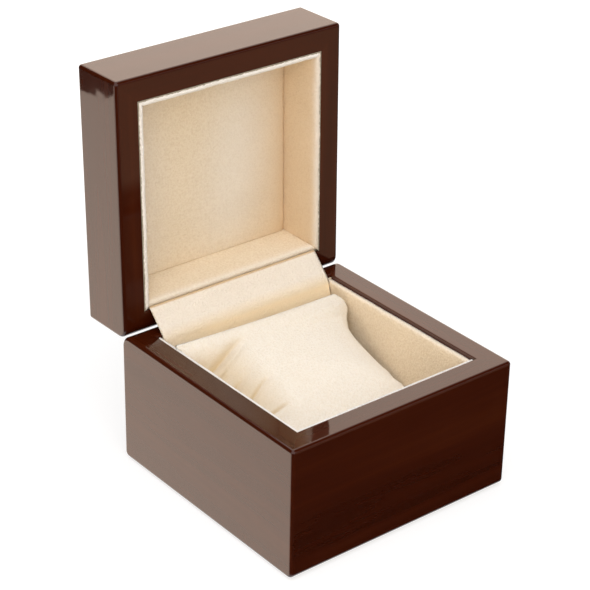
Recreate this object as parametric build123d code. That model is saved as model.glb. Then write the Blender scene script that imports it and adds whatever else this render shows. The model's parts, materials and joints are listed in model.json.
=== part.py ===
from build123d import *
import math
import os

# Lacquered wooden display box for one watch.
# Frame: millimetres, +Z up, +X to the box's right, the hinge along its back (+Y).
# Origin: centre of the underside of the felt pad that the box stands on.
# The lid is modelled closed, then swung open about the hinge pin.

# ---- driving dimensions: wooden case ----
BOX_WIDTH = 110.0          # outside, X
BOX_DEPTH = 110.0          # outside, Y
BASE_HEIGHT = 57.0         # wood of the base
LID_HEIGHT = 26.0          # wood of the lid
WALL = 10.0                # mitred walls of base and lid
BOTTOM_BOARD = 5.0
TOP_BOARD = 4.0
EDGE_ROUND = 1.4           # outer edges
FOOT_ROUND = 2.4           # lowest outer edges of the base, front and back
HINGE_ROUND = 5.0          # the two long edges that roll past each other at the hinge
RIM_EASE = 0.4             # inner edges of both rims
LID_GAP = 0.2              # between the two rims when closed
OPEN_ANGLE = 91.0
FELT_THICKNESS = 0.8
FELT_INSET = 5.0
FELT_CORNER = 4.0

# ---- driving dimensions: linings ----
CARD = 1.6                 # boards behind the suede
SUEDE = 0.6
BASE_LINING_DROP = 1.5     # lining top below the base rim
LID_LINING_PROUD = 0.4     # lining edge past the lid rim
LID_BACK_SET_IN = 0.8      # the edge at the hinge stays inside, clear of the flap
LID_LINING_LEAN = 3.0      # extra padding where the lid's sides meet its panel
LINING_FREE = 0.3          # between the proud lid lining and the base walls
BACK_LINING = 0.5          # thin lining behind the flap
LIP_ROUND = 0.9            # rolled edges of the lining
PAD_BOARD = 1.4            # padded panel in the lid
PAD_FOAM = 2.8
PAD_ROUND = 2.4
PAD_JOINT = 0.2            # crease between the panel and the side linings

# ---- driving dimensions: hinge ----
PIVOT_INSET = 2.35         # pin axis from the back face
HINGE_LENGTH = 50.0
LEAF_DEPTH = 6.2           # pin axis to the front edge of a leaf
LEAF_THICKNESS = 0.8
BARREL_RADIUS = 1.6
BARREL_CLEARANCE = 0.35
PIN_RADIUS = 0.8
PIN_RUNNING_FIT = 0.04
LID_KNUCKLE = 26.0         # the lid's one long knuckle in the middle
KNUCKLE_GAP = 0.15
SCREW_X = (8.0, 20.0)      # each side of the middle
SCREW_EDGE = 2.5           # screw axis from the front edge of the leaf
SCREW_RADIUS = 0.8
SCREW_HEAD_RADIUS = 1.6
SCREW_LENGTH = 7.0
SCREW_SLOT = 0.4

# ---- driving dimensions: flap over the hinge ----
FLAP_CARD = 0.4
FLAP_SUEDE = 0.3
FLAP_END_GAP = 0.4         # flap end to each side lining
FLAP_CLEARANCE = 0.3       # flap to the wood and to the back lining
FLAP_LEAD = 0.6            # flap's fold past the corner of the lid rim
FLAP_DROP = 14.0           # reach below the base rim with the lid open

# ---- driving dimensions: cushion ----
PILLOW_SIDE_GAP = 2.2      # to each side lining
PILLOW_FRONT_GAP = 5.3     # to the front lining
PILLOW_BACK_GAP = 0.95     # to the flap when the lid is closed
PILLOW_FLOOR_GAP = 0.3
PILLOW_TOP_DROP = 0.3      # highest part below the base rim
# Outline of its middle, back edge first, then over the top and back along the floor.
# Each row is (forward, up) in shares of its depth and height, and the same for the point
# that this one falls to where the cover is sewn together at each side.
PILLOW_OUTLINE = [
    ((0.994, 0.931), (0.989, 0.890)),
    ((0.877, 1.000), (0.891, 0.778)),
    ((0.610, 0.894), (0.652, 0.574)),
    ((0.330, 0.597), (0.400, 0.350)),
    ((0.119, 0.352), (0.154, 0.208)),
    ((0.010, 0.150), (0.020, 0.130)),
    ((0.147, -0.014), (0.154, 0.065)),
    ((0.470, -0.031), (0.442, 0.228)),
    ((0.778, 0.024), (0.708, 0.473)),
    ((0.961, 0.381), (0.912, 0.697)),
]
# (share of the half width, share of the full swell) from the side seam to the middle
PILLOW_SWELL = [(1.0, 0.22), (0.91, 0.62), (0.64, 0.92), (0.0, 1.0)]
PILLOW_COVER = 0.8

# ---- derived places ----
HALF_X = BOX_WIDTH / 2
HALF_Y = BOX_DEPTH / 2
BASE_BOTTOM = FELT_THICKNESS
BASE_RIM = BASE_BOTTOM + BASE_HEIGHT
LID_RIM = BASE_RIM + LID_GAP
LID_TOP = LID_RIM + LID_HEIGHT
FLOOR = BASE_BOTTOM + BOTTOM_BOARD
LID_CEILING = LID_TOP - TOP_BOARD
LINING = CARD + SUEDE
PIVOT_Y = HALF_Y - PIVOT_INSET
PIVOT_Z = BASE_RIM + LID_GAP / 2
PIVOT = Axis((0, PIVOT_Y, PIVOT_Z), (1, 0, 0))
INSIDE_X = HALF_X - WALL - LINING
INSIDE_FRONT = WALL + LINING - HALF_Y
SIDES = ("front", "back", "left", "right")


def block(x_half, y_low, y_high, z_low, z_high):
    """A box centred on X between the given Y and Z planes."""
    size = (2 * x_half, y_high - y_low, z_high - z_low)
    place = (0, (y_low + y_high) / 2, (z_low + z_high) / 2)
    return Pos(*place) * Box(*size)


def centred_block(inset, z_low, z_high):
    """A box that stays a given distance inside the case's outer faces."""
    return block(HALF_X - inset, inset - HALF_Y, HALF_Y - inset, z_low, z_high)


def frame(outer_inset, inner_inset, z_low, z_high):
    """A four-sided frame between two distances inside the case's outer faces."""
    outside = centred_block(outer_inset, z_low, z_high)
    return outside - centred_block(inner_inset, z_low, z_high)


def x_rod(radius, x_low, x_high, y, z):
    """A round rod along X."""
    centre = ((x_low + x_high) / 2, y, z)
    return Pos(*centre) * Rot(0, 90, 0) * Cylinder(radius, x_high - x_low)


def mitre_wedge(side):
    """The share of the plan that belongs to one wall, bounded by its 45 degree mitres."""
    along, across, turn = {
        "front": (HALF_X, HALF_Y, 0),
        "right": (HALF_Y, HALF_X, 90),
        "back": (HALF_X, HALF_Y, 180),
        "left": (HALF_Y, HALF_X, 270),
    }[side]
    reach = 2 * WALL
    margin = WALL
    corners = [
        (-along - margin, -across - margin),
        (along + margin, -across - margin),
        (along - reach, -across + reach),
        (-along + reach, -across + reach),
    ]
    height = 2 * (LID_TOP + WALL)
    return Rot(0, 0, turn) * extrude(make_face(Polyline(*corners, close=True)), height, both=True)


def mitred(shape):
    """Cut a frame into its four mitred sides."""
    return {side: shape & mitre_wedge(side) for side in SIDES}


def rounded_case(z_low, z_high, radii):
    """The outside of the base or the lid; radii run front low, front high, back high, back low."""
    corners = [(-HALF_Y, z_low), (-HALF_Y, z_high), (HALF_Y, z_high), (HALF_Y, z_low)]
    outline = FilletPolyline(*corners, radius=radii, close=True)
    case = extrude(Plane.YZ * make_face(outline), HALF_X, both=True)
    ends = case.faces().sort_by(Axis.X)
    return fillet(ends[0].edges() + ends[-1].edges(), EDGE_ROUND)


# ---- base: mitred walls on a bottom board ----
def base_case():
    outside = rounded_case(
        BASE_BOTTOM, BASE_RIM, [FOOT_ROUND, EDGE_ROUND, HINGE_ROUND, FOOT_ROUND]
    )
    board = outside & centred_block(-WALL, BASE_BOTTOM, FLOOR)
    ring = (outside - board) - centred_block(WALL, FLOOR, BASE_RIM)
    rim = ring.faces().filter_by(Axis.Z).sort_by(Axis.Z)[-1]
    ring = fillet(rim.inner_wires()[0].edges(), RIM_EASE)
    walls = mitred(ring)
    walls["back"] -= leaf_seat("base")
    return board, walls


def felt_pad():
    pad = centred_block(FELT_INSET, 0, FELT_THICKNESS)
    return fillet(pad.edges().filter_by(Axis.Z), FELT_CORNER)


# ---- lid, in its closed place ----
def lid_case():
    outside = rounded_case(
        LID_RIM, LID_TOP, [EDGE_ROUND, EDGE_ROUND, EDGE_ROUND, HINGE_ROUND]
    )
    board = outside & centred_block(-WALL, LID_CEILING, LID_TOP)
    ring = (outside - board) - centred_block(WALL, LID_RIM, LID_CEILING)
    rim = ring.faces().filter_by(Axis.Z).sort_by(Axis.Z)[0]
    ring = fillet(rim.inner_wires()[0].edges(), RIM_EASE)
    walls = mitred(ring)
    walls["back"] -= leaf_seat("lid")
    return board, walls


# ---- hinge: two leaves, one pin, countersunk screws ----
def leaf_plate(part_name):
    front = PIVOT_Y - LEAF_DEPTH
    if part_name == "base":
        return block(HINGE_LENGTH / 2, front, PIVOT_Y, BASE_RIM - LEAF_THICKNESS, BASE_RIM)
    return block(HINGE_LENGTH / 2, front, PIVOT_Y, LID_RIM, LID_RIM + LEAF_THICKNESS)


def knuckle_spans(part_name):
    half_lid = LID_KNUCKLE / 2
    if part_name == "lid":
        return [(-half_lid, half_lid)]
    start = half_lid + KNUCKLE_GAP
    return [(-HINGE_LENGTH / 2, -start), (start, HINGE_LENGTH / 2)]


HANGING = (Align.CENTER, Align.CENTER, Align.MAX)    # a shape below the point it is placed at


def at_screws(part_name, shape):
    """Copies of a shape at one leaf's screws, driven into the wood from the leaf's face."""
    face_z = BASE_RIM if part_name == "base" else LID_RIM
    turn = Rot(0, 0, 0) if part_name == "base" else Rot(180, 0, 0)
    screw_y = PIVOT_Y - LEAF_DEPTH + SCREW_EDGE
    places = sorted(sign * x for x in SCREW_X for sign in (-1, 1))
    return [Pos(x, screw_y, face_z) * turn * shape for x in places]


def screw_body():
    shank = Cylinder(SCREW_RADIUS, SCREW_LENGTH, align=HANGING)
    return shank + Cone(SCREW_RADIUS, SCREW_HEAD_RADIUS, LEAF_THICKNESS, align=HANGING)


def screws(part_name):
    """Countersunk screws with a driving slot, their heads flush with the leaf."""
    slot = Box(2 * SCREW_HEAD_RADIUS, SCREW_SLOT, LEAF_THICKNESS / 2, align=HANGING)
    return at_screws(part_name, screw_body() - slot)


def leaf(part_name):
    """One leaf: a plate set into the rim, rolled around the pin."""
    other = "lid" if part_name == "base" else "base"
    plate = leaf_plate(part_name)
    relief = BARREL_RADIUS + BARREL_CLEARANCE
    for low, high in knuckle_spans(other):
        plate -= x_rod(relief, low - KNUCKLE_GAP, high + KNUCKLE_GAP, PIVOT_Y, PIVOT_Z)
    for low, high in knuckle_spans(part_name):
        plate += x_rod(BARREL_RADIUS, low, high, PIVOT_Y, PIVOT_Z)
    bore = PIN_RADIUS + (PIN_RUNNING_FIT if part_name == "lid" else PIN_RUNNING_FIT / 2)
    plate -= x_rod(bore, -HINGE_LENGTH, HINGE_LENGTH, PIVOT_Y, PIVOT_Z)
    for hole in at_screws(part_name, screw_body()):
        plate -= hole
    return plate


def leaf_seat(part_name):
    """What is cut from a back wall for its leaf, its screws and the barrel."""
    reach = HINGE_LENGTH / 2 + BARREL_CLEARANCE
    seat = leaf_plate(part_name)
    seat += x_rod(BARREL_RADIUS + BARREL_CLEARANCE, -reach, reach, PIVOT_Y, PIVOT_Z)
    for hole in at_screws(part_name, screw_body()):
        seat += hole
    return seat


def hinge_pin():
    return x_rod(PIN_RADIUS, -HINGE_LENGTH / 2, HINGE_LENGTH / 2, PIVOT_Y, PIVOT_Z)


# ---- linings of the base: floor, front and two sides, and a thin one behind the flap ----
def three_sided(outer_inset, inner_inset, z_low, z_high):
    """A frame open at the back, where it ends against the back lining."""
    back = HALF_Y - WALL - BACK_LINING
    outside = block(HALF_X - outer_inset, outer_inset - HALF_Y, back, z_low, z_high)
    return outside - block(HALF_X - inner_inset, inner_inset - HALF_Y, HALF_Y, z_low, z_high)


def split_three(shape):
    """Front, left and right sides, mitred at the two front corners."""
    front = shape & mitre_wedge("front")
    rest = shape - mitre_wedge("front")
    left_half = Pos(-BOX_WIDTH / 2, 0, 0) * Box(BOX_WIDTH, 2 * BOX_DEPTH, 4 * LID_TOP)
    return {"front": front, "left": rest & left_half, "right": rest - left_half}


def is_inner_lip(point):
    """True for the middle of a lining edge that faces the box's inside."""
    beside_watch = abs(point.X) < INSIDE_X + SUEDE / 2
    behind_front = point.Y > INSIDE_FRONT - SUEDE / 2
    before_back = point.Y < HALF_Y - WALL - LINING
    return beside_watch and behind_front and before_back


def base_linings():
    low = FLOOR + CARD
    top = BASE_RIM - BASE_LINING_DROP
    cards = three_sided(WALL, WALL + CARD, low, top - SUEDE)
    skins = three_sided(WALL, WALL + LINING, low, top)
    inside_back = HALF_Y - WALL - BACK_LINING
    upper = skins.faces().filter_by(Axis.Z).sort_by(Axis.Z)[-1]
    lip = [edge for edge in upper.edges() if is_inner_lip(edge.center())]
    skins = fillet(lip, LIP_ROUND) - cards
    pieces = {
        "base_floor_card": centred_block(WALL, FLOOR, low),
        "base_floor_suede": block(INSIDE_X, INSIDE_FRONT, inside_back, low, low + SUEDE),
        "base_back_lining": block(HALF_X - WALL, inside_back, HALF_Y - WALL, low, top),
    }
    for side, card in split_three(cards).items():
        pieces[f"base_{side}_lining_card"] = card
    for side, skin in split_three(skins).items():
        pieces[f"base_{side}_lining_suede"] = skin
    return pieces


# ---- linings of the lid: four leaning sides and a padded panel ----
def lid_side_ring(lip):
    """Cards, and the padded suede over them, with the suede's free edge at lip."""
    seat = LID_CEILING - PAD_BOARD
    cards = frame(WALL, WALL + CARD, lip + SUEDE, seat)
    skins = centred_block(WALL, max(lip, LID_RIM), seat)
    if lip < LID_RIM:
        skins += centred_block(WALL + LINING_FREE, lip, LID_RIM)
    mouth = Pos(0, 0, lip) * Rectangle(
        BOX_WIDTH - 2 * (WALL + LINING), BOX_DEPTH - 2 * (WALL + LINING)
    )
    lean = math.degrees(math.atan(LID_LINING_LEAN / (seat - lip)))
    skins -= extrude(mouth, seat - lip, taper=lean)
    edge_face = skins.faces().filter_by(Axis.Z).sort_by(Axis.Z)[0]
    skins = fillet(edge_face.inner_wires()[0].edges(), LIP_ROUND)
    return mitred(cards), mitred(skins - cards)


def lid_linings():
    cards, skins = lid_side_ring(LID_RIM - LID_LINING_PROUD)
    back_cards, back_skins = lid_side_ring(LID_RIM + LID_BACK_SET_IN)
    cards["back"] = back_cards["back"]
    skins["back"] = back_skins["back"]
    pieces = {}
    for side in SIDES:
        pieces[f"lid_{side}_lining_card"] = cards[side]
        pieces[f"lid_{side}_lining_suede"] = skins[side]
    return pieces


def lid_panel():
    """A board against the lid's top, crowned foam on it and suede over the foam."""
    board_low = LID_CEILING - PAD_BOARD
    inset = WALL + LINING + LID_LINING_LEAN + PAD_JOINT
    foam_low = board_low - PAD_FOAM
    foam = centred_block(inset + SUEDE, foam_low, board_low)
    foam = fillet(foam.faces().sort_by(Axis.Z)[0].edges(), PAD_ROUND)
    cover = centred_block(inset, foam_low - SUEDE, board_low)
    cover = fillet(cover.faces().sort_by(Axis.Z)[0].edges(), PAD_ROUND + SUEDE)
    return {
        "lid_panel_board": centred_block(WALL, board_low, LID_CEILING),
        "lid_panel_foam": foam,
        "lid_panel_suede": cover - foam,
    }


# ---- flap over the hinge ----
def swung_point(y, z, degrees):
    """Where a point comes to when it turns about the pin, positive towards closing."""
    turn = math.radians(degrees)
    out = y - PIVOT_Y
    up = z - PIVOT_Z
    return (
        PIVOT_Y + out * math.cos(turn) - up * math.sin(turn),
        PIVOT_Z + out * math.sin(turn) + up * math.cos(turn),
    )


def flap_path():
    """Middle of the flap in the Y-Z plane: fold at the lid, bend at the rim, lower edge."""
    thickness = FLAP_CARD + FLAP_SUEDE
    base_corner = (HALF_Y - WALL, BASE_RIM)
    lid_corner = swung_point(HALF_Y - WALL, LID_RIM, -OPEN_ANGLE)
    run_y = lid_corner[0] - base_corner[0]
    run_z = lid_corner[1] - base_corner[1]
    run = math.hypot(run_y, run_z)
    along = (run_y / run, run_z / run)
    stand_off = FLAP_CLEARANCE + thickness / 2
    fold_y = lid_corner[0] - along[1] * stand_off + along[0] * FLAP_LEAD
    fold_z = lid_corner[1] + along[0] * stand_off + along[1] * FLAP_LEAD
    bend_y = HALF_Y - WALL - BACK_LINING - FLAP_CLEARANCE - thickness / 2
    bend_z = fold_z - (fold_y - bend_y) * along[1] / along[0]
    return [(fold_y, fold_z), (bend_y, bend_z), (bend_y, BASE_RIM - FLAP_DROP)]


def beside(path, distance):
    """The three-point path moved sideways, positive towards the hinge."""
    (y0, z0), (y1, z1), (y2, z2) = path
    slope = math.atan2(z0 - z1, y0 - y1)
    side = (math.sin(slope) * distance, -math.cos(slope) * distance)
    half_turn = (math.pi / 2 - slope) / 2
    return [
        (y0 + side[0], z0 + side[1]),
        (y1 + distance, z1 - distance * math.tan(half_turn)),
        (y2 + distance, z2),
    ]


def flap_face_when_closed():
    """Y of the flap's upright front face with the lid closed. The flap keeps its slope."""
    fold, bend, _ = flap_path()
    shift = swung_point(*fold, OPEN_ANGLE)[0] - fold[0]
    return bend[0] - (FLAP_CARD + FLAP_SUEDE) / 2 + shift


def flap():
    path = flap_path()
    half = (FLAP_CARD + FLAP_SUEDE) / 2
    reach = INSIDE_X - FLAP_END_GAP
    behind = beside(path, half)
    between = beside(path, half - FLAP_CARD)
    ahead = beside(path, -half)
    card_outline = Polyline(*behind, *reversed(between), close=True)
    card = extrude(Plane.YZ * make_face(card_outline), reach, both=True)
    suede_outline = Polyline(*behind, *reversed(ahead), close=True)
    suede = extrude(Plane.YZ * make_face(suede_outline), reach, both=True)
    suede += x_rod(half, -reach, reach, *path[0])
    return {"flap_card": card, "flap_suede": suede - card}


# ---- cushion ----
def pillow_section(x, swell, inset, depth, height):
    """The pillow's outline at x, in a frame from its front edge and underside."""
    points = []
    for full, seam in PILLOW_OUTLINE:
        out = swell * (full[0] - seam[0]) * depth
        up = swell * (full[1] - seam[1]) * height
        reach = math.hypot(out, up)
        keep = max(0.1, 1 - inset / reach)
        points.append((seam[0] * depth + out * keep, seam[1] * height + up * keep))
    return Plane.YZ.offset(x) * make_face(Spline(*points, periodic=True))


def pillow_body(inset):
    """A crowned bag, thin at its side seams, flat where it meets the floor and the back."""
    front = INSIDE_FRONT + PILLOW_FRONT_GAP
    back = flap_face_when_closed() - PILLOW_BACK_GAP
    floor = FLOOR + CARD + SUEDE + PILLOW_FLOOR_GAP
    top = BASE_RIM - PILLOW_TOP_DROP
    half = INSIDE_X - PILLOW_SIDE_GAP
    steps = [(-share, swell) for share, swell in PILLOW_SWELL]
    steps += [(share, swell) for share, swell in reversed(PILLOW_SWELL[:-1])]
    sections = []
    for share, swell in steps:
        x = share * (half - inset if abs(share) == 1 else half)
        sections.append(pillow_section(x, swell, inset, back - front, top - floor))
    bag = Pos(0, front, floor) * loft(sections)
    room = block(half, front - 5, back - inset, floor + inset, top + 5)
    return bag & room


def pillow():
    whole = pillow_body(0)
    filling = pillow_body(PILLOW_COVER)
    return {"pillow_cover": whole - filling, "pillow_filling": filling}


# ---- the whole box ----
def base_pieces():
    board, walls = base_case()
    pieces = {"base_bottom_board": board, "base_felt_pad": felt_pad()}
    for side, wall in walls.items():
        pieces[f"base_{side}_wall"] = wall
    pieces.update(base_linings())
    pieces["hinge_base_leaf"] = leaf("base")
    pieces["hinge_pin"] = hinge_pin()
    pieces["hinge_base_screws"] = Compound(screws("base"))
    return pieces


def lid_pieces():
    board, walls = lid_case()
    pieces = {"lid_top_board": board}
    for side, wall in walls.items():
        pieces[f"lid_{side}_wall"] = wall
    pieces.update(lid_linings())
    pieces.update(lid_panel())
    pieces["hinge_lid_leaf"] = leaf("lid")
    pieces["hinge_lid_screws"] = Compound(screws("lid"))
    return {name: piece.rotate(PIVOT, -OPEN_ANGLE) for name, piece in pieces.items()}


def main():
    os.makedirs("parts", exist_ok=True)
    pieces = base_pieces() | lid_pieces() | flap() | pillow()
    for name, piece in pieces.items():
        solids = piece.solids()
        shape = solids[0] if len(solids) == 1 else Compound(solids)
        export_step(shape, f"parts/{name}.step")


main()
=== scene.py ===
import json
import math

import bmesh
import bpy
import numpy as np
from mathutils import Matrix, Vector, noise


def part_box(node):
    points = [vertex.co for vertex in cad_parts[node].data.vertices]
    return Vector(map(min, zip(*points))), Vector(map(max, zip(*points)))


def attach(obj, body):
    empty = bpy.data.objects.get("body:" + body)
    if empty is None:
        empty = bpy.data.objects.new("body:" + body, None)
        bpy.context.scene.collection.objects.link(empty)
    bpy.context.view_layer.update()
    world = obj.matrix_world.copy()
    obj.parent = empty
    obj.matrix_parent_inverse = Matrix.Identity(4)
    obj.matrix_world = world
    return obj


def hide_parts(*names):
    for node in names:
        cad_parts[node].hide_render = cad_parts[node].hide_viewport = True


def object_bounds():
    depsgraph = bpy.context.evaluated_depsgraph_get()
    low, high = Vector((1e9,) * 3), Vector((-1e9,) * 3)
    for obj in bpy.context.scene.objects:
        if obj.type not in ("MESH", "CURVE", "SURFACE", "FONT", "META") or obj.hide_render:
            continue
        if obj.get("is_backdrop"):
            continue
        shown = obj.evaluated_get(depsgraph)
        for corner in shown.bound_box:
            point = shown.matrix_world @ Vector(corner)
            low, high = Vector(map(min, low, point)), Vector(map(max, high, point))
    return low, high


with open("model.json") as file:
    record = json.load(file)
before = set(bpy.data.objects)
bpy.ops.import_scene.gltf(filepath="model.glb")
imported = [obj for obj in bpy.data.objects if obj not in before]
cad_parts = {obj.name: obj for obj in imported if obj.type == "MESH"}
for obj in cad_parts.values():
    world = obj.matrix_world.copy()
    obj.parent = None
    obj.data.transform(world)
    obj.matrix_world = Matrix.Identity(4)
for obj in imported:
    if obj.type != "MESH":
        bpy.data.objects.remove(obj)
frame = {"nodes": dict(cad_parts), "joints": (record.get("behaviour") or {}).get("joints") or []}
cad_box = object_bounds()

MM = 0.001

# ---- the case's own planes, read from the CAD nodes ----
RIM_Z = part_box("base_left_wall")[1].z
HALF_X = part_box("base_right_wall")[1].x
WALL = HALF_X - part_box("base_right_lining_card")[1].x
LINING_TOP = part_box("base_left_lining_suede")[1].z
INSIDE_X = -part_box("base_left_lining_suede")[1].x
JOINTS = {joint["name"]: joint for joint in frame["joints"]}
PIVOT = Vector(JOINTS["lid_hinge"]["pos_m"])
OPEN_ANGLE = math.radians(JOINTS["lid_hinge"]["range_deg"][1])
SWING = Matrix.Rotation(-OPEN_ANGLE, 3, "X")


# ---- camera: the angle, distance and lens that the box's corners and edges give ----
CAMERA_AZIMUTH = -39.021
CAMERA_ELEVATION = 28.051
CAMERA_ROLL = 1.001
CAMERA_TARGET = Vector((-29.732, -23.439, 100.907)) * MM
CAMERA_DISTANCE = 742.2 * MM
CAMERA_LENS = 122.375


def add_camera():
    azimuth = math.radians(CAMERA_AZIMUTH)
    elevation = math.radians(CAMERA_ELEVATION)
    back = Vector((
        math.sin(azimuth) * math.cos(elevation),
        -math.cos(azimuth) * math.cos(elevation),
        math.sin(elevation),
    ))
    data = bpy.data.cameras.new("camera")
    data.lens = CAMERA_LENS
    data.sensor_width = 36.0
    data.clip_start = 0.01
    camera = bpy.data.objects.new("camera", data)
    bpy.context.scene.collection.objects.link(camera)
    camera.location = CAMERA_TARGET + back * CAMERA_DISTANCE
    level = (-back).to_track_quat("-Z", "Y").to_matrix().to_4x4()
    roll = Matrix.Rotation(math.radians(CAMERA_ROLL), 4, "Z")
    camera.matrix_world = Matrix.Translation(camera.location) @ level @ roll
    bpy.context.scene.camera = camera


# ---- shader helpers ----
def new_material(name):
    material = bpy.data.materials.new(name)
    material.use_nodes = True
    nodes = material.node_tree.nodes
    nodes.clear()
    output = nodes.new("ShaderNodeOutputMaterial")
    shader = nodes.new("ShaderNodeBsdfPrincipled")
    material.node_tree.links.new(shader.outputs[0], output.inputs["Surface"])
    return material, shader


def add_node(material, kind, **settings):
    node = material.node_tree.nodes.new(kind)
    for key, value in settings.items():
        setattr(node, key, value)
    return node


def link(material, source, target):
    material.node_tree.links.new(source, target)


def mapped(material, scale, offset=(0, 0, 0)):
    """Object coordinates stretched by scale, per metre."""
    place = add_node(material, "ShaderNodeTexCoord")
    mapping = add_node(material, "ShaderNodeMapping")
    mapping.inputs["Scale"].default_value = scale
    mapping.inputs["Location"].default_value = offset
    link(material, place.outputs["Object"], mapping.inputs["Vector"])
    return mapping.outputs["Vector"]


def noise_node(material, scale, detail=2.0, roughness=0.5, stretch=(1, 1, 1), distortion=0.0):
    texture = add_node(material, "ShaderNodeTexNoise")
    texture.inputs["Scale"].default_value = scale
    texture.inputs["Detail"].default_value = detail
    texture.inputs["Roughness"].default_value = roughness
    texture.inputs["Distortion"].default_value = distortion
    link(material, mapped(material, stretch), texture.inputs["Vector"])
    return texture.outputs["Fac"]


def ramp(material, factor, stops):
    """A colour ramp; stops are (position, (r, g, b))."""
    node = add_node(material, "ShaderNodeValToRGB")
    elements = node.color_ramp.elements
    while len(elements) < len(stops):
        elements.new(0.5)
    for element, (position, colour) in zip(elements, stops):
        element.position = position
        element.color = (*colour, 1)
    link(material, factor, node.inputs["Fac"])
    return node.outputs["Color"]


def bump(material, height, distance, strength=1.0, after=None):
    node = add_node(material, "ShaderNodeBump")
    node.inputs["Distance"].default_value = distance
    node.inputs["Strength"].default_value = strength
    link(material, height, node.inputs["Height"])
    if after is not None:
        link(material, after, node.inputs["Normal"])
    return node.outputs["Normal"]


# ---- materials; noise scales are per metre ----
ALONG_GRAIN = 0.05         # how slowly the wood's figure changes along its fibres
DIMMED_COAT = 0.12           # of the lacquer's coat where its reflection is taken down, as painted shade
DIMMED_BELOW = (118 * MM, 126 * MM)
FACES_FRONT = (-0.95, -0.8)    # y of the normal of a face that looks to the front


def lacquered_wood(name, grain, dimmed_rim=False):
    """Dark red-brown wood under thick clear lacquer.

    grain is the axis that its fibres follow, and the last argument gives it less coat low on its lid
    rim, a painted shade on its reflection there.
    """
    material, shader = new_material(name)
    stretch = [ALONG_GRAIN if axis == grain else 1 for axis in "XYZ"]
    figure = noise_node(material, scale=95, detail=5, roughness=0.6, stretch=stretch, distortion=0.35)
    colour = ramp(material, figure, [
        (0.30, (0.032, 0.0044, 0.0006)),
        (0.52, (0.046, 0.0064, 0.0009)),
        (0.74, (0.066, 0.0115, 0.0016)),
    ])
    link(material, colour, shader.inputs["Base Color"])
    shader.inputs["Roughness"].default_value = 0.42
    shader.inputs["Specular IOR Level"].default_value = 0.05
    shader.inputs["Coat Weight"].default_value = 1.0
    shader.inputs["Coat Roughness"].default_value = 0.035
    shader.inputs["Coat IOR"].default_value = 1.55
    wave = noise_node(material, scale=55, detail=2, roughness=0.5)
    ripple = bump(material, wave, distance=0.00014, strength=0.5)
    link(material, ripple, shader.inputs["Coat Normal"])
    if dimmed_rim:
        dim_rim_reflection(material, shader)
    return material


def dim_rim_reflection(material, shader):
    """Less coat on the faces that look to the front, below a height, and all of it elsewhere: a painted
    shade on the lacquer's reflection.
    """
    place = add_node(material, "ShaderNodeTexCoord")
    most = add_node(material, "ShaderNodeMath", operation="MAXIMUM")
    limits = (("Normal", "Y", FACES_FRONT), ("Object", "Z", DIMMED_BELOW))
    for entry, (output, axis, (start, end)) in enumerate(limits):
        split = add_node(material, "ShaderNodeSeparateXYZ")
        reach = add_node(material, "ShaderNodeMapRange", interpolation_type="SMOOTHSTEP")
        reach.inputs["From Min"].default_value = start
        reach.inputs["From Max"].default_value = end
        reach.inputs["To Min"].default_value = DIMMED_COAT
        link(material, place.outputs[output], split.inputs[0])
        link(material, split.outputs[axis], reach.inputs["Value"])
        link(material, reach.outputs["Result"], most.inputs[entry])
    link(material, most.outputs[0], shader.inputs["Coat Weight"])


def suede(name, pale, deep, speckle, painted_shade_tint, painted_warm_shade_tint, painted_light_tint):
    """Brushed microfibre with a pebbled pile, and three tints laid on by masks: painted shade, warmer
    painted shade and painted light.
    """
    material, shader = new_material(name)
    cloud = noise_node(material, scale=60, detail=3, roughness=0.55)
    pebble = noise_node(material, scale=1250, detail=2, roughness=0.6)
    fibre = noise_node(material, scale=3600, detail=2, roughness=0.7)
    tone = ramp(material, cloud, [(0.25, deep), (0.75, pale)])
    mix = add_node(material, "ShaderNodeMix", data_type="RGBA", blend_type="MULTIPLY")
    mix.inputs["Factor"].default_value = 1.0
    speck = ramp(material, pebble, [(0.28, speckle), (0.60, (1, 1, 1))])
    link(material, tone, mix.inputs["A"])
    link(material, speck, mix.inputs["B"])
    colour = mix.outputs["Result"]
    # the three masks carry painted shade, warmer painted shade and painted light, in this order
    for attribute, tint in (("pressed", painted_shade_tint), ("painted_warm_shade", painted_warm_shade_tint), ("edge", painted_light_tint)):
        amount = add_node(material, "ShaderNodeAttribute", attribute_name=attribute)
        painted_shading = add_node(material, "ShaderNodeMix", data_type="RGBA")
        painted_shading.inputs["B"].default_value = (*tint, 1)
        link(material, amount.outputs["Fac"], painted_shading.inputs["Factor"])
        link(material, colour, painted_shading.inputs["A"])
        colour = painted_shading.outputs["Result"]
    link(material, colour, shader.inputs["Base Color"])
    shader.inputs["Roughness"].default_value = 0.95
    shader.inputs["Specular IOR Level"].default_value = 0.12
    shader.inputs["Sheen Weight"].default_value = 0.25
    shader.inputs["Sheen Roughness"].default_value = 0.5
    shader.inputs["Sheen Tint"].default_value = (1.0, 0.95, 0.88, 1)
    pebbled = bump(material, pebble, distance=0.0007, strength=0.85)
    brushed = bump(material, fibre, distance=0.00008, strength=0.5, after=pebbled)
    link(material, brushed, shader.inputs["Normal"])
    return material


def plain(name, dark, light, scale, roughness, metallic=0.0, relief=0.00004):
    """A small part's material: two tones, a fine relief and one roughness."""
    material, shader = new_material(name)
    texture = noise_node(material, scale, detail=3, roughness=0.6)
    link(material, ramp(material, texture, [(0.3, dark), (0.7, light)]), shader.inputs["Base Color"])
    shader.inputs["Roughness"].default_value = roughness
    shader.inputs["Metallic"].default_value = metallic
    link(material, bump(material, texture, distance=relief, strength=0.5), shader.inputs["Normal"])
    return material


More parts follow.
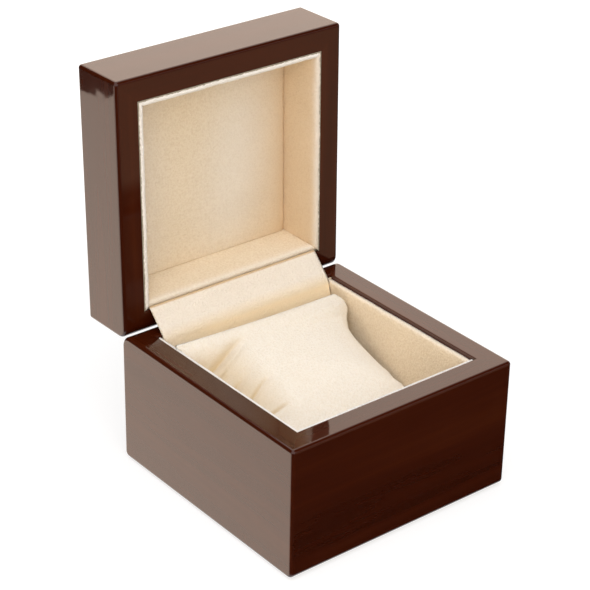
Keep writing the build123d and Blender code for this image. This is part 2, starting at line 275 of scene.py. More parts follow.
MATERIALS = {
    "wood_x": lacquered_wood("lacquered_wood_x", grain="X"),
    "wood_y": lacquered_wood("lacquered_wood_y", grain="Y"),
    "wood_z": lacquered_wood("lacquered_wood_z", grain="Z"),
    # its reflection taken down low on the lid rim's front faces, as painted shade
    "wood_dimmed_rim": lacquered_wood("lacquered_wood_dimmed_rim", grain="Z", dimmed_rim=True),
    "lining": suede(
        "lining_suede",
        pale=(0.95, 0.82, 0.635),
        deep=(0.92, 0.79, 0.60),
        speckle=(0.885, 0.845, 0.785),
        # the last three tints: painted shade, warmer painted shade and painted light
        painted_shade_tint=(0.70, 0.50, 0.30),
        painted_warm_shade_tint=(1.0, 0.82, 0.56),
        painted_light_tint=(1.0, 0.98, 0.955),
    ),
    "pillow": suede(
        "pillow_suede",
        pale=(0.96, 0.905, 0.81),
        deep=(0.94, 0.875, 0.77),
        speckle=(0.945, 0.92, 0.88),
        # the last three tints: painted shade, warmer painted shade and painted light
        painted_shade_tint=(0.66, 0.50, 0.29),
        painted_warm_shade_tint=(1.0, 0.84, 0.60),
        painted_light_tint=(1.0, 0.96, 0.90),
    ),
    "card": plain("grey_card", (0.33, 0.29, 0.22), (0.42, 0.37, 0.29), scale=700, roughness=0.9),
    "foam": plain(
        "foam", (0.72, 0.68, 0.58), (0.80, 0.76, 0.66), scale=900, roughness=0.95, relief=0.0001
    ),
    "felt": plain(
        "felt", (0.012, 0.007, 0.005), (0.03, 0.018, 0.012), scale=1500, roughness=1.0, relief=0.0001
    ),
    "brass": plain(
        "brass", (0.52, 0.36, 0.13), (0.66, 0.48, 0.20), scale=400, roughness=0.28, metallic=1.0,
        relief=0.00001,
    ),
}


def material_of(node):
    """The material that a CAD node shows."""
    if node in ("base_left_wall", "base_right_wall"):
        return "wood_y"
    if node == "lid_left_wall":
        return "wood_dimmed_rim"
    if node == "lid_right_wall":
        return "wood_z"
    if node.endswith("_wall") or node in ("lid_top_board", "base_bottom_board"):
        return "wood_x"
    if node.startswith("hinge_"):
        return "brass"
    if node == "base_felt_pad":
        return "felt"
    if node.endswith("card") or node == "lid_panel_board":
        return "card"
    if node in ("lid_panel_foam", "pillow_filling"):
        return "foam"
    return "pillow" if node.startswith("pillow") else "lining"


def dress_nodes():
    for name, node in frame["nodes"].items():
        node.data.materials.clear()
        node.data.materials.append(MATERIALS[material_of(name)])


# ---- mesh helpers ----
def new_piece(name, vertices, faces, material, smooth=True, masks=None):
    """A mesh object from points in metres; its masks are 0 to 1 at each point, for its material."""
    mesh = bpy.data.meshes.new(name)
    mesh.from_pydata([tuple(point) for point in vertices], [], faces)
    mesh.update()
    for attribute, amounts in (masks or {}).items():
        layer = mesh.attributes.new(attribute, "FLOAT", "POINT")
        layer.data.foreach_set("value", [float(amount) for amount in amounts])
    tidy = bmesh.new()
    tidy.from_mesh(mesh)
    bmesh.ops.remove_doubles(tidy, verts=tidy.verts, dist=1e-6)
    bmesh.ops.recalc_face_normals(tidy, faces=tidy.faces)
    for face in tidy.faces:
        face.smooth = smooth
    tidy.to_mesh(mesh)
    tidy.free()
    mesh.materials.append(MATERIALS[material])
    piece = bpy.data.objects.new(name, mesh)
    bpy.context.scene.collection.objects.link(piece)
    return piece


def subdivide(piece, levels):
    modifier = piece.modifiers.new("subdivision", "SUBSURF")
    modifier.levels = levels
    modifier.render_levels = levels


def uneven(point, size, amount, seed=0.0):
    """A smooth random offset, in metres, with hills about size apart."""
    return amount * noise.noise(Vector(point) / size + Vector((seed, 7.3 * seed, -3.1 * seed)))


def ramped(value, start, width):
    """0 up to start, 1 from start + width on, and straight between them."""
    return np.clip((value - start) / width, 0, 1)


def grid_faces(rows, columns, start=0, flip=False):
    """Quads over points that are stored row by row."""
    faces = []
    for i in range(rows - 1):
        for j in range(columns - 1):
            a = start + i * columns + j
            b = a + columns
            faces.append([a, b, b + 1, a + 1] if flip else [a, a + 1, b + 1, b])
    return faces


def bridged(loops):
    """A closed tube through loops of equal length, with both ends capped."""
    count = len(loops[0])
    vertices = [point for loop in loops for point in loop]
    faces = []
    for ring in range(len(loops) - 1):
        for k in range(count):
            a = ring * count + k
            b = ring * count + (k + 1) % count
            faces.append([a, b, b + count, a + count])
    last = (len(loops) - 1) * count
    faces.append(list(range(count))[::-1])
    faces.append([last + k for k in range(count)])
    return vertices, faces


LINE_STEPS = 24            # of a smooth line, between two of its given points


def smooth_line(points, count):
    """Evenly spaced points along a Catmull-Rom line through the given ones."""
    points = [np.array(point, dtype=float) for point in points]
    ends = [2 * points[0] - points[1], 2 * points[-1] - points[-2]]
    line = [ends[0], *points, ends[1]]
    dense = []
    for k in range(1, len(line) - 2):
        before, start, end, after = line[k - 1:k + 3]
        for t in np.linspace(0, 1, LINE_STEPS, endpoint=False):
            curve = 2 * start + (end - before) * t
            curve = curve + (2 * before - 5 * start + 4 * end - after) * t ** 2
            curve = curve + (3 * start - before - 3 * end + after) * t ** 3
            dense.append(curve / 2)
    dense.append(points[-1])
    dense = np.array(dense)
    steps = np.concatenate([[0], np.cumsum(np.linalg.norm(np.diff(dense, axis=0), axis=1))])
    places = np.linspace(0, steps[-1], count)
    return np.stack([np.interp(places, steps, dense[:, axis]) for axis in range(dense.shape[1])], axis=1)


def swung(point):
    """Where a point of the closed lid lies while the lid stands open."""
    return PIVOT + SWING @ (Vector(point) - PIVOT)


# ---- linings: four mitred sides, each a padded strip with a rolled lip ----
INNER = HALF_X - WALL
SIDE_TURNS = {"front": -90, "right": 0, "back": 90, "left": 180}
LIP_SPACING = 0.7 * MM
LIP_REACH = 2.2 * MM       # depth over which a lip's fuzz dies out
FUZZ_SIZE = 0.9 * MM
FUZZ_DEEP = 0.6            # of its height, along the depth
PADDING_SIZE = 9 * MM      # the padding's own hills
PADDING_HEIGHT = 0.22 * MM
MITRE_EASE = 24            # how late both die out towards a mitre
UNDER_INSET = 0.75 * MM    # what lies under the lip, at its back
UNDER_DEPTH = 4 * MM
SECTION_FINE = 4           # smooth points for each given one
# sections, each point (inset, depth) in mm: in from the wood, and down from the rim
LID_PROFILE = [
    (0.35, 3.0), (0.35, 0.7), (0.45, 0.1), (0.9, -0.2), (1.5, -0.2), (2.1, 0.1), (2.4, 0.8),
    (2.75, 3.0), (3.45, 7.0), (4.15, 11.5), (4.75, 16.0), (5.2, 20.4), (4.4, 20.4), (1.9, 8.0),
]
LID_BACK_PROFILE = [
    (0.3, 4.0), (0.3, 1.8), (0.7, 1.3), (1.3, 0.95), (2.0, 0.8), (2.6, 1.0), (3.05, 1.6), (3.25, 2.6),
    (3.4, 4.5), (3.8, 8.0), (4.3, 12.0), (4.8, 16.0), (5.2, 20.4), (4.4, 20.4), (1.9, 8.5),
]
BASE_PROFILE = [
    (0.15, 6.0), (0.15, 1.6), (0.3, 0.8), (0.75, 0.4), (1.25, 0.4), (1.8, 0.7), (2.1, 1.4),
    (2.25, 3.0), (2.25, 14.0), (2.25, 30.0), (2.25, 49.6), (1.6, 49.6), (1.2, 25.0),
]


def lining_side(name, side, profile, place, fuzz, pale, back_end=None, tone=0.0, painted_shade_under_lip=0.0, glow=1.0):
    """One strip: profile is its section, and place(x, y, depth) gives a point.

    fuzz is how high its lip's fuzz stands, pale how deep the painted highlight along its lip reaches and
    glow how pale that is. back_end is where a square end at the hinge lies. tone is its painted shade
    all over, and the argument after tone adds painted shade under its lip.
    """
    section = smooth_line(profile + [profile[0]], SECTION_FINE * len(profile))[:-1] * MM
    turn = Matrix.Rotation(math.radians(SIDE_TURNS[side]), 3, "Z")
    rings = round(2 * INNER / LIP_SPACING)
    top = min(depth for inset, depth in section)
    loops = []
    edge = []
    dark = []
    for ring in range(rings + 1):
        t = 2 * ring / rings - 1
        loop = []
        for inset, depth in section:
            # painted shade under the lip and all over, and a painted highlight along the lip's top
            hidden = inset < UNDER_INSET and depth < UNDER_DEPTH
            dark.append(tone + (painted_shade_under_lip if hidden else 0.0))
            edge.append(glow * math.exp(-((depth - top) / pale) ** 2))
            reach = INNER - inset
            shorter = 0.0 if back_end is None else reach - back_end
            high_end = shorter if side == "right" else 0.0
            low_end = shorter if side == "left" else 0.0
            along = -reach + low_end + (2 * reach - low_end - high_end) * (t + 1) / 2
            flat = turn @ Vector((reach, along, 0))
            lip = math.exp(-(depth / LIP_REACH) ** 2)
            shake = uneven((flat.x, flat.y, depth), FUZZ_SIZE, fuzz * lip, seed=3.0)
            wave = uneven((flat.x, flat.y, depth), PADDING_SIZE, PADDING_HEIGHT, seed=5.0)
            inward = turn @ Vector((-1, 0, 0))
            ease = 1 - abs(t) ** MITRE_EASE
            flat = flat + inward * (shake + wave) * ease
            loop.append(place(flat.x, flat.y, depth + shake * FUZZ_DEEP * ease))
        loops.append(loop)
    vertices, faces = bridged(loops)
    # edge is the painted highlight and pressed the painted shade
    masks = {"edge": edge, "pressed": dark}
    piece = new_piece(name, vertices, faces, "lining", masks=masks)
    return piece


LID_CLEARANCE = 0.2 * MM   # the lid's rim above the base's
# how deep the painted highlight along the lid's lips reaches
LID_HIGHLIGHT_DEPTH = 2.2 * MM
# fuzz in mm, painted shade all over, painted shade under the lip and how pale the painted highlight on
# the lip is, of each side
LID_FUZZ_AND_PAINTED_SHADING = {
    "front": (0.3, 0.0, 0.0, 0.8),
    "right": (0.3, 0.52, 0.0, 0.5),
    "back": (0.12, 0.0, 1.0, 0.35),
    "left": (0.3, 0.0, 0.0, 0.8),
}


def build_lid_linings():
    def place(x, y, depth):
        return swung((x, y, RIM_Z + LID_CLEARANCE + depth))

    for side, (fuzz, tone, painted_shade_under_lip, glow) in LID_FUZZ_AND_PAINTED_SHADING.items():
        profile = LID_BACK_PROFILE if side == "back" else LID_PROFILE
        piece = lining_side(
            f"lid_{side}_lining", side, profile, place, fuzz * MM, LID_HIGHLIGHT_DEPTH,
            tone=tone, painted_shade_under_lip=painted_shade_under_lip, glow=glow,
        )
        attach(piece, "lid")
        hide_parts(f"lid_{side}_lining_suede")


BASE_FUZZ = 0.1 * MM
# how deep the painted highlight along the base's lips reaches, and how pale it is on each side
BASE_HIGHLIGHT_DEPTH = 0.7 * MM
BASE_PAINTED_HIGHLIGHT = {"front": 1.0, "left": 1.0, "right": 0.25}
BASE_BACK_END = INNER - 0.6 * MM
RIGHT_LIP_LOWER = 0.9      # mm that the right lip lies lower
LIP_DEPTH = 3              # mm of the section that move with it


def build_base_linings():
    def place(x, y, depth):
        return Vector((x, y, RIM_Z - depth))

    for side, glow in BASE_PAINTED_HIGHLIGHT.items():
        low = RIGHT_LIP_LOWER if side == "right" else 0.0
        profile = [(inset, depth + low * (depth < LIP_DEPTH)) for inset, depth in BASE_PROFILE]
        back_end = None if side == "front" else BASE_BACK_END
        piece = lining_side(
            f"base_{side}_lining", side, profile, place, BASE_FUZZ, BASE_HIGHLIGHT_DEPTH, back_end, glow=glow
        )
        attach(piece, "base")
        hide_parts(f"base_{side}_lining_suede")


# ---- the padded panel in the lid ----
PANEL_HALF = 40.25 * MM
PANEL_DEEP = 20.4 * MM
PANEL_FACE = 17.6 * MM
PANEL_ROLL = 2.0 * MM
PANEL_CROWN = 1.9 * MM
PANEL_WAVE_SIZE = 14 * MM
PANEL_WAVE = 0.35 * MM
PANEL_BACK = 20.5 * MM     # its hidden back, and how much smaller that is
PANEL_BACK_SHARE = 0.94
PANEL_CELLS = 72


def roll_off(distance, radius):
    """How far the face falls back at a distance from an edge of that radius."""
    if distance >= radius:
        return 0.0
    rest = radius - max(distance, 0.0)
    return radius - math.sqrt(radius ** 2 - rest ** 2)


def panel_painted_shading(u, v):
    """How much painted light and painted shade lie on the panel's face, u from left to right and v
    towards the hinge, -1 to 1.
    """
    middle = 0.42 * math.exp(-((u - 0.32 + 0.12 * v) / 0.45) ** 2) * (1 - 0.6 * v ** 4)
    left = 0.4 * math.exp(-((u + 1) / 0.4) ** 2)
    shade = 0.33 * ramped(u, 0.25, 0.45)
    right = 0.5 * ramped(u, 0.72, 0.28) ** 1.5
    low = 0.15 * ramped(v, 0.78, 0.22) ** 1.5 * (u + 1) / 2
    corner = 0.35 * max(0.0, (-u - v) / 2 - 0.55)
    return middle + left, shade + right + low + corner


def panel_point(u, v):
    """A point of the panel's face, rolled off at its edges, crowned and slightly uneven."""
    x = u * PANEL_HALF
    y = v * PANEL_HALF
    fall = roll_off(PANEL_HALF - abs(x), PANEL_ROLL)
    fall += roll_off(PANEL_HALF - abs(y), PANEL_ROLL / 2 if y > 0 else PANEL_ROLL)
    fall = min(fall, PANEL_DEEP - PANEL_FACE)
    crown = PANEL_CROWN * (1 - u ** 2) * (1 - v ** 2)
    wave = uneven((x, y, 0), PANEL_WAVE_SIZE, PANEL_WAVE, seed=8.0) * (1 - u ** 6) * (1 - v ** 6)
    return swung((x, y, RIM_Z + PANEL_FACE + fall - crown + wave))


def build_panel():
    spots = [math.sin(math.pi / 2 * (2 * k / PANEL_CELLS - 1)) for k in range(PANEL_CELLS + 1)]
    rows = len(spots)
    places = [(u, v) for u in spots for v in spots]
    painted_panel_shading = [panel_painted_shading(u, v) for u, v in places]
    vertices = [panel_point(u, v) for u, v in places]
    back = PANEL_HALF * PANEL_BACK_SHARE
    vertices += [swung((u * back, v * back, RIM_Z + PANEL_BACK)) for u, v in places]
    hidden = len(places)
    faces = grid_faces(rows, rows) + grid_faces(rows, rows, start=hidden, flip=True)
    border = [i * rows for i in range(rows)]
    border += [PANEL_CELLS * rows + j for j in range(1, rows)]
    border += [i * rows + PANEL_CELLS for i in range(PANEL_CELLS - 1, -1, -1)]
    border += [j for j in range(PANEL_CELLS - 1, 0, -1)]
    for a, b in zip(border, border[1:] + border[:1]):
        faces.append([a, b, b + hidden, a + hidden])
    # painted light on its middle and left side, painted shade towards its right side, along its hinge
    # end and in its left corner away from the hinge
    masks = {
        "edge": [pale for pale, dark in painted_panel_shading] + [0] * hidden,
        "pressed": [dark for pale, dark in painted_panel_shading] + [0] * hidden,
    }
    piece = new_piece("lid_panel", vertices, faces, "lining", masks=masks)
    subdivide(piece, 1)
    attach(piece, "lid")
    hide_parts("lid_panel_suede", "lid_panel_foam")


# ---- the flap that covers the hinge ----
FLAP_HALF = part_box("flap_suede")[1].x + 0.25 * MM
FLAP_THICK = 0.4 * MM
FLAP_END = 0.4 * MM        # how far its two ends are rounded
FLAP_WAVE_SIZE = 11 * MM
FLAP_WAVE = 0.15 * MM
FLAP_PALE_FROM = 54.5 * MM     # heights over which it turns from warm painted shade to painted light
FLAP_PALE_OVER = 5.0 * MM
FLAP_TUCK_FROM = 65.8 * MM     # and from painted light to painted shade under the lid's lip
FLAP_TUCK_OVER = 0.4 * MM
FLAP_ROWS = 44
FLAP_COLUMNS = 96
# the line of its back side, from under the lid's lip to behind the cushion, as (y, z) in mm
FLAP_LINE = [
    (53.7, 66.45), (53.3, 66.3), (52.7, 65.85), (50.2, 63.35), (47.6, 60.7), (45.5, 58.5),
    (44.0, 56.7), (43.1, 54.4), (41.9, 51.2), (41.1, 48.0), (41.3, 44.0),
]


def build_flap():
    """A soft strip that leaves the lid under its lip and bends down behind the cushion."""
    back = smooth_line(FLAP_LINE, FLAP_ROWS) * MM
    run = np.gradient(back, axis=0)
    run /= np.linalg.norm(run, axis=1)[:, None]
    ahead = np.stack([run[:, 1], -run[:, 0]], axis=1)
    high = ramped(back[:, 1], FLAP_PALE_FROM, FLAP_PALE_OVER)
    painted_lip_shade = ramped(back[:, 1], FLAP_TUCK_FROM, FLAP_TUCK_OVER)
    hidden = [0] * FLAP_ROWS
    masks = {"edge": [], "pressed": [], "painted_warm_shade": []}
    loops = []
    for t in np.linspace(-1, 1, FLAP_COLUMNS + 1):
        x = t * FLAP_HALF
        from_end = (1 - abs(t)) * FLAP_HALF
        edge = FLAP_THICK / 2 * max(0.0, 1 - from_end / FLAP_END) ** 2
        face = []
        for point, way in zip(back, ahead):
            soft = uneven((x, point[0], point[1]), FLAP_WAVE_SIZE, FLAP_WAVE, seed=2.0) * (1 - t ** 8)
            face.append((x, *(point + way * (FLAP_THICK + soft - edge))))
        behind = [(x, *(point + way * edge)) for point, way in zip(back[::-1], ahead[::-1])]
        loops.append(face + behind)
        # painted light on its upper part, painted shade where it goes under the lid's lip, warm painted
        # shade lower down, fading out at its left end
        masks["edge"] += [*(0.5 * high * (1 - painted_lip_shade)), *hidden]
        masks["pressed"] += [*painted_lip_shade, *hidden]
        masks["painted_warm_shade"] += [*((1 - high) * ramped(t, -1, 0.5)), *hidden]
    vertices, faces = bridged(loops)
    piece = new_piece("flap_strip", vertices, faces, "lining", masks=masks)
    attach(piece, "flap")
    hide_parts("flap_suede", "flap_card")


# ---- cushion: a sewn pouch, filled by a cloth simulation at ten times its size ----
POUCH_WIDTH = 84 * MM
POUCH_LENGTH = 92 * MM
POUCH_CELLS = (52, 60)
POUCH_SCALE = 10.0
POUCH_PRESSURE = 4.5
POUCH_FRAMES = 36
POUCH_RISE = 12 * MM       # of each layer's middle before it is filled
SETTLE_ROUNDS = 26
# how it lies: leaning on the back wall, flatter towards its front
PILLOW_SLOPE = math.radians(23)
PILLOW_BACK_SLOPE = math.radians(60)
PILLOW_BEND = 22 * MM
LEAN_LENGTH = 140 * MM     # of its side line, longer than the cushion
LEAN_STEPS = 561
PILLOW_BACK = 33.4 * MM
PILLOW_BACK_LIMIT = 34.2 * MM
PILLOW_SEAM_LEFT = 0.8 * MM
PILLOW_SEAM_RIGHT = -1.9 * MM
PILLOW_SEAM_SAG = 0.8 * MM
PILLOW_BLUNT = 3.0 * MM    # how far its right ear is rounded
PILLOW_EAR = 0.08          # share of the half width
PILLOW_HANG = 43.0         # mm from the back seam over which the cloth follows it
PILLOW_LENGTH = 86 * MM
PILLOW_THICK = 21 * MM
# its half widths and its thickness, against mm from the back seam
PILLOW_LEFT = 44.2 * MM
PILLOW_RIGHT = [
    (0, 39.8), (2.1, 41.6), (5.4, 41.4), (9.3, 38.6), (14.4, 36.6), (21.6, 36.8),
    (30, 38.0), (38, 39.3), (46, 40.2), (57, 40.6), (72, 40.4), (86, 38.5),
]
PILLOW_FILL = [(0, 0.42), (7.4, 0.46), (18, 0.58), (33, 0.70), (47, 0.74), (86, 0.76)]
PILLOW_FILL_RIGHT = [
    (0, 0.60), (5.4, 0.60), (10.7, 0.42), (18, 0.48), (29, 0.56), (39, 0.60), (54, 0.80), (86, 0.80),
]
# creases at its left end: (mm right of the middle, mm from the back seam), reach behind, depth
CREASES = [
    ([(-14.0, 5.0), (-18.0, 6.6), (-22.4, 8.7), (-29.1, 12.4), (-33.8, 15.0), (-41.0, 19.0)], 5.6, 3.4),
    ([(-24.0, 22.6), (-27.0, 24.0), (-30.1, 25.9), (-32.2, 27.6), (-39.0, 32.0)], 3.6, 2.6),
    ([(-18.0, 28.2), (-20.4, 29.4), (-25.5, 32.4), (-29.6, 35.2), (-38.0, 40.0)], 2.8, 2.0),
    ([(-18.0, 44.6), (-21.8, 45.2), (-28.4, 46.4), (-38.0, 49.0)], 2.4, 1.2),
]
CREASE_RUN = 0.62          # of a half wave that swells and fades along a crease
CREASE_SWELL = 0.9         # power of that wave, fuller the smaller it is
CREASE_START = 0.30        # share of its reach at its start, and what that gains to its end
CREASE_GAIN = 0.75
CREASE_FRONT = 1.1         # mm over which the cloth in front of a crease comes up
CREASE_CREST = 2.6         # mm from a crease to the crest in front of it
CREST_WIDTH = 1.3
CREST_RISE = 0.30          # of the crease's depth
CREASE_SHADE_FRONT = 0.7            # mm of painted shade in front of a crease
# dents between the creases: (mm right of the middle, mm from the back seam), radius, depth
DENTS = [((-37.0, 10.0), 6.0, 1.6), ((-33.0, 19.5), 5.0, 1.4), ((-35.0, 31.0), 4.0, 1.0)]
# painted shade in the dents and over the cushion's left end
DENT_SHADE = 0.8
LEFT_END_SHADE = 0.6
SIDE_SEAM = 0.06           # share of the half width where no crease reaches
# where it rests: how flat it lies there, and where it goes over the left lining's lip
FLOOR_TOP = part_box("base_floor_suede")[1].z
FLOOR_REST = 0.4 * MM
FLOOR_GIVE = 0.01
BACK_GIVE = 0.02
SIDE_REST = 0.6 * MM
OVER_LIP = 2.6 * MM
LIP_CLEARANCE = 0.2 * MM
LIP_RISE = 1.2 * MM


def flat_pouch():
    """Two layers joined along all four edges, already slightly apart."""
    across, along = POUCH_CELLS
    vertices = []
    index = {}
    for layer in (0, 1):
        for i in range(across + 1):
            for j in range(along + 1):
                seam = i in (0, across) or j in (0, along)
                if seam and layer == 1:
                    index[layer, i, j] = index[0, i, j]
                    continue
                u = 2 * i / across - 1
                v = 2 * j / along - 1
                rise = 0 if seam else POUCH_RISE * math.sqrt((1 - u ** 4) * (1 - v ** 4))
                index[layer, i, j] = len(vertices)
                side = 1 - 2 * layer
                vertices.append((u * POUCH_WIDTH / 2, v * POUCH_LENGTH / 2, side * rise))
    faces = []
    for layer in (0, 1):
        for i in range(across):
            for j in range(along):
                corners = [(i, j), (i + 1, j), (i + 1, j + 1), (i, j + 1)]
                loop = [index[layer, a, b] for a, b in corners]
                faces.append(loop if layer == 0 else loop[::-1])
    return np.array(vertices), faces, index


def inflate(vertices, faces):
    """The pouch after its filling has pushed it out and its seams have pulled in."""
    mesh = bpy.data.meshes.new("pouch")
    mesh.from_pydata([tuple(point * POUCH_SCALE) for point in vertices], [], faces)
    pouch = bpy.data.objects.new("pouch", mesh)
    bpy.context.scene.collection.objects.link(pouch)
    back_seam = pouch.vertex_groups.new(name="back_seam")
    limit = vertices[:, 1].max() - 1e-6
    back_seam.add([n for n, point in enumerate(vertices) if point[1] > limit], 1.0, "REPLACE")
    cloth = pouch.modifiers.new("cloth", "CLOTH")
    cloth.settings.quality = 6
    cloth.settings.mass = 0.3
    cloth.settings.tension_stiffness = 20
    cloth.settings.compression_stiffness = 20
    cloth.settings.shear_stiffness = 8
    cloth.settings.bending_stiffness = 0.25
    cloth.settings.use_pressure = True
    cloth.settings.uniform_pressure_force = POUCH_PRESSURE
    cloth.settings.effector_weights.gravity = 0
    cloth.settings.air_damping = 10
    cloth.settings.vertex_group_mass = back_seam.name
    cloth.collision_settings.use_collision = False
    scene = bpy.context.scene
    for step in range(1, POUCH_FRAMES + 1):
        scene.frame_set(step)
    filled = pouch.evaluated_get(bpy.context.evaluated_depsgraph_get())
    result = np.array([vertex.co for vertex in filled.data.vertices]) / POUCH_SCALE
    scene.frame_set(1)
    bpy.data.objects.remove(pouch)
    return result


def finer(grid, axis):
    """The grid with a point added in the middle of each step along one axis."""
    grid = np.moveaxis(grid, axis, 0)
    padded = np.concatenate([2 * grid[:1] - grid[1:2], grid, 2 * grid[-1:] - grid[-2:-1]])
    middle = (9 * (padded[1:-2] + padded[2:-1]) - padded[:-3] - padded[3:]) / 16
    result = np.empty((2 * len(grid) - 1, *grid.shape[1:]))
    result[::2] = grid
    result[1::2] = middle
    return np.moveaxis(result, 0, axis)


def settled(grid, amount, rounds):
    """Inner points drawn towards the mean of their four neighbours, to take small ripples out."""
    for _ in range(rounds):
        mean = grid[:, 2:, 1:-1] + grid[:, :-2, 1:-1] + grid[:, 1:-1, 2:] + grid[:, 1:-1, :-2]
        step = mean / 4 - grid[:, 1:-1, 1:-1]
        seams = grid[:, [0, -1]]
        seams[:, :, 1:-1] += 0.25 * (seams[:, :, 2:] + seams[:, :, :-2] - 2 * seams[:, :, 1:-1])
        grid[:, 1:-1, 1:-1] += step * amount[None, 1:-1, 1:-1, None]
        grid[:, [0, -1]] = seams
        grid[:, 1:-1, 0] += 0.25 * (grid[:, 2:, 0] + grid[:, :-2, 0] - 2 * grid[:, 1:-1, 0])
    return grid


def away_from(line, x, w):
    """Distance in mm to either side of a line, positive behind it, and the place along it."""
    best = np.full(x.shape, 1e9)
    place = np.zeros(x.shape)
    for k in range(len(line) - 1):
        start = np.array(line[k])
        run = np.array(line[k + 1]) - start
        t = ((x - start[0]) * run[0] + (w - start[1]) * run[1]) / (run @ run)
        t = np.clip(t, 0, 1)
        off_x = x - start[0] - t * run[0]
        off_w = w - start[1] - t * run[1]
        gap = np.hypot(off_x, off_w) * np.sign(run[1] * off_x - run[0] * off_w) * -1
        closer = np.abs(gap) < np.abs(best)
        best = np.where(closer, gap, best)
        place = np.where(closer, (k + t) / (len(line) - 1), place)
    return best, place


def creased(x, w):
    """How far the cover sinks, in mm, and how much painted shade lies along its creases, dents and left
    end, at points of the flat cloth.
    """
    depth = np.zeros(x.shape)
    painted_shading = np.zeros(x.shape)
    off_seam = ramped(w, 3, 8)
    for line, reach, sink in CREASES:
        gap, place = away_from(line, x, w)
        fade = np.sin(np.pi * np.clip(CREASE_RUN * place, 0, 1)) ** CREASE_SWELL
        spread = reach * (CREASE_START + CREASE_GAIN * place)
        fold = np.where(gap > 0, np.exp(-np.abs(gap) / spread), np.exp(-(gap / CREASE_FRONT) ** 2))
        crest = np.exp(-((gap + CREASE_CREST) / CREST_WIDTH) ** 2)
        depth += sink * fade * (fold - CREST_RISE * crest)
        # painted shade: wide behind a crease, narrow in front of it
        tone = np.where(gap > 0, np.exp(-(gap / spread) ** 2), np.exp(-(gap / CREASE_SHADE_FRONT) ** 2))
        painted_shading = np.maximum(painted_shading, fade * tone)
    for (centre_x, centre_w), radius, sink in DENTS:
        dent = np.exp(-((x - centre_x) ** 2 + (w - centre_w) ** 2) / radius ** 2)
        depth += sink * dent
        painted_shading = np.maximum(painted_shading, DENT_SHADE * dent * off_seam)
    left_end = LEFT_END_SHADE * ramped(-x, 15, 15) * off_seam * (1 - ramped(w, 42, 12))
    return depth, np.maximum(painted_shading, left_end)


def squared_sides(grid, down):
    """Rows scaled across to the cushion's width there, pinched in front of the right-hand ear."""
    high = np.interp(down, *zip(*PILLOW_RIGHT)) * MM
    across = grid[..., 0]
    right = across * (high / across.max(axis=(0, 1)))[None, None, :]
    left = across * (PILLOW_LEFT / -across.min(axis=(0, 1)))[None, None, :]
    grid[..., 0] = np.where(across < 0, left, right)
    return grid


def leaned(grid):
    """The flat pouch leaned back: steep under its back seam and flatter towards the front."""
    steps = np.linspace(0, LEAN_LENGTH, LEAN_STEPS)
    slope = PILLOW_SLOPE + (PILLOW_BACK_SLOPE - PILLOW_SLOPE) * np.exp(-steps / PILLOW_BEND)
    spacing = steps[1] - steps[0]
    down = np.concatenate([[0], np.cumsum(np.sin(slope[:-1]) * spacing)])
    forward = np.concatenate([[0], np.cumsum(np.cos(slope[:-1]) * spacing)])
    along = np.clip(-grid[..., 1], 0, None)
    behind = np.clip(grid[..., 1], 0, None)
    thick = grid[..., 2]
    tilt = np.interp(along, steps, slope)
    y = -np.interp(along, steps, forward) - thick * np.sin(tilt) + behind * np.cos(tilt)
    z = -np.interp(along, steps, down) + thick * np.cos(tilt) + behind * np.sin(tilt)
    return np.stack([grid[..., 0], y, z], axis=-1)


def hung(grid, u, down):
    """The back seam brought onto a nearly straight line, higher at its left end."""
    line = PILLOW_SEAM_LEFT + (PILLOW_SEAM_RIGHT - PILLOW_SEAM_LEFT) * (u + 1) / 2
    line = line - PILLOW_SEAM_SAG * (1 - u ** 2)
    blunt = PILLOW_BLUNT * ramped(u, 1 - PILLOW_EAR, PILLOW_EAR) ** 2
    goal_y = PILLOW_BACK - 0.5 * blunt
    goal_z = RIM_Z + line - 0.85 * blunt
    share = np.clip(1 - down / PILLOW_HANG, 0, 1) ** 2
    seam = grid[:, :, -1]
    grid[..., 1] += share * (goal_y - seam[..., 1])[..., None]
    grid[..., 2] += share * (goal_z - seam[..., 2])[..., None]
    return grid


def pressed(grid):
    """The cushion flattened where it meets the floor, the back and the left lining."""
    low = FLOOR_TOP + FLOOR_REST
    z = grid[..., 2]
    grid[..., 2] = np.where(z < low, low - (low - z) * FLOOR_GIVE, z)
    past = grid[..., 1] - PILLOW_BACK_LIMIT
    grid[..., 1] = np.where(past > 0, PILLOW_BACK_LIMIT + past * BACK_GIVE, grid[..., 1])
    over_lip = ramped(grid[..., 2], LINING_TOP + LIP_CLEARANCE, LIP_RISE)
    grid[..., 0] = np.maximum(grid[..., 0], -(INSIDE_X - SIDE_REST) - OVER_LIP * over_lip)
    return grid


def filled_pouch():
    """The filled pouch as (layer, across, along) points, smoother at its sides and front, and finer."""
    vertices, faces, index = flat_pouch()
    filled = inflate(vertices, faces)
    across, along = POUCH_CELLS
    grid = np.zeros((2, across + 1, along + 1, 3))
    for (layer, i, j), n in index.items():
        grid[layer, i, j] = filled[n]
    side = ramped(np.abs(np.linspace(-1, 1, across + 1)), 0.35, 0.5)
    front = ramped(0.45 - np.linspace(0, 1, along + 1), 0, 0.25)
    grid = settled(grid, 0.5 * np.maximum(side[:, None], front[None, :]), SETTLE_ROUNDS)
    return finer(finer(grid, 1), 2)


def sized(grid, u):
    """The pouch brought to the cushion's size, and how far each row is from its back seam, in mm."""
    seam = grid[0, :, -1]
    grid -= np.array([0, seam[:, 1].mean(), seam[:, 2].mean()])
    grid[..., 1] *= PILLOW_LENGTH / -grid[..., 1].min()
    grid[..., 2] *= PILLOW_THICK / grid[..., 2].max()
    down = -grid[0, :, :, 1].mean(axis=0) / MM
    down[-1] = 0
    middle = np.interp(down, *zip(*PILLOW_FILL))
    right = np.interp(down, *zip(*PILLOW_FILL_RIGHT))
    grid[..., 2] *= middle + (right - middle) * ramped(u, 0.1, 0.7)[:, None]
    return squared_sides(grid, down), down


